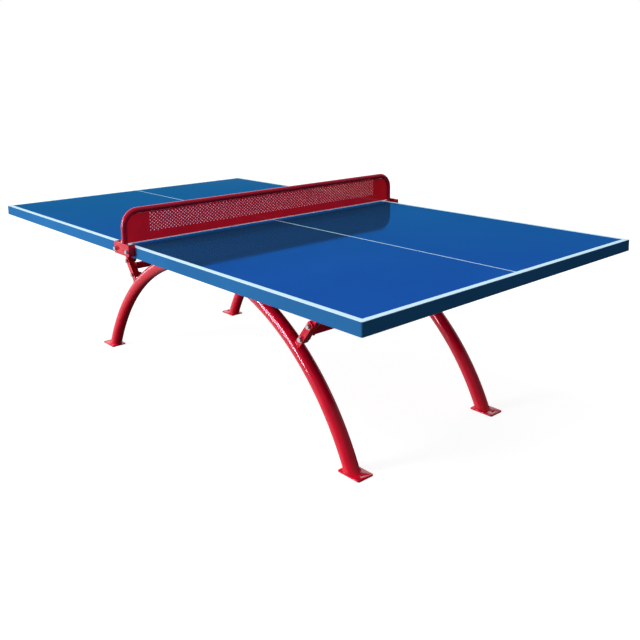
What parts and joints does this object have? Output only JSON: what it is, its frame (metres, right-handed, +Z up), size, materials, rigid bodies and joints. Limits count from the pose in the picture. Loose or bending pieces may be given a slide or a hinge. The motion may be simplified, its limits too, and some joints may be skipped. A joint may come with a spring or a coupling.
{
  "type": "table tennis table",
  "caption": "Fixed outdoor table tennis table with a moulded blue top, arched red tube legs, inclined struts and a perforated sheet net.",
  "frame": {"origin": "on the ground under the middle of the net, at the centre of the four feet", "axes": "+Z up, +X along the table's length, +Y across it along the net"},
  "size_m": [2.74, 1.601, 0.9125],
  "materials": {
    "top_blue": "glossy blue moulded sheet with white painted lines",
    "leg_red": "glossy red powder coat",
    "net_red": "glossy red powder coat",
    "frame_steel": "satin dark powder coat",
    "bolt_steel": "zinc plated",
    "plug_black": "moulded plastic"
  },
  "bodies": {
    "root": {"table_top_left": "top_blue", "table_top_right": "top_blue", "cross_rail_left_inner": "frame_steel", "cross_rail_left_middle": "frame_steel", "cross_rail_left_outer": "frame_steel", "cross_rail_right_inner": "frame_steel", "cross_rail_right_middle": "frame_steel", "cross_rail_right_outer": "frame_steel", "long_rail_left_front": "frame_steel", "long_rail_left_rear": "frame_steel", "long_rail_right_front": "frame_steel", "long_rail_right_rear": "frame_steel", "seam_beam": "frame_steel", "crown_saddle_front": "leg_red", "arch_leg_front": "leg_red", "crown_saddle_rear": "leg_red", "arch_leg_rear": "leg_red", "foot_plate_left_front": "leg_red", "arch_lug_left_front": "leg_red", "strut_left_front": "leg_red", "strut_top_plate_left_front": "leg_red", "beam_end_plate_left_front": "leg_red", "foot_plate_left_rear": "leg_red", "arch_lug_left_rear": "leg_red", "strut_left_rear": "leg_red", "strut_top_plate_left_rear": "leg_red", "beam_end_plate_left_rear": "leg_red", "foot_plate_right_front": "leg_red", "arch_lug_right_front": "leg_red", "strut_right_front": "leg_red", "strut_top_plate_right_front": "leg_red", "beam_end_plate_right_front": "leg_red", "foot_plate_right_rear": "leg_red", "arch_lug_right_rear": "leg_red", "strut_right_rear": "leg_red", "strut_top_plate_right_rear": "leg_red", "beam_end_plate_right_rear": "leg_red", "cross_beam_left": "leg_red", "cross_beam_right": "leg_red", "net_frame": "net_red", "net_panel": "net_red", "net_bracket_front": "net_red", "net_bracket_rear": "net_red", "strut_bolts": "bolt_steel", "strut_nuts": "bolt_steel", "strut_washers": "bolt_steel", "net_bolts": "bolt_steel", "net_nuts": "bolt_steel", "net_washers": "bolt_steel", "plate_bolts": "bolt_steel", "plate_nuts": "bolt_steel", "rail_bolts": "bolt_steel", "rail_nuts": "bolt_steel", "saddle_bolts": "bolt_steel", "saddle_nuts": "bolt_steel", "top_screws": "bolt_steel", "rail_plugs": "plug_black", "net_tube_plugs": "plug_black"}
  },
  "joints": []
}
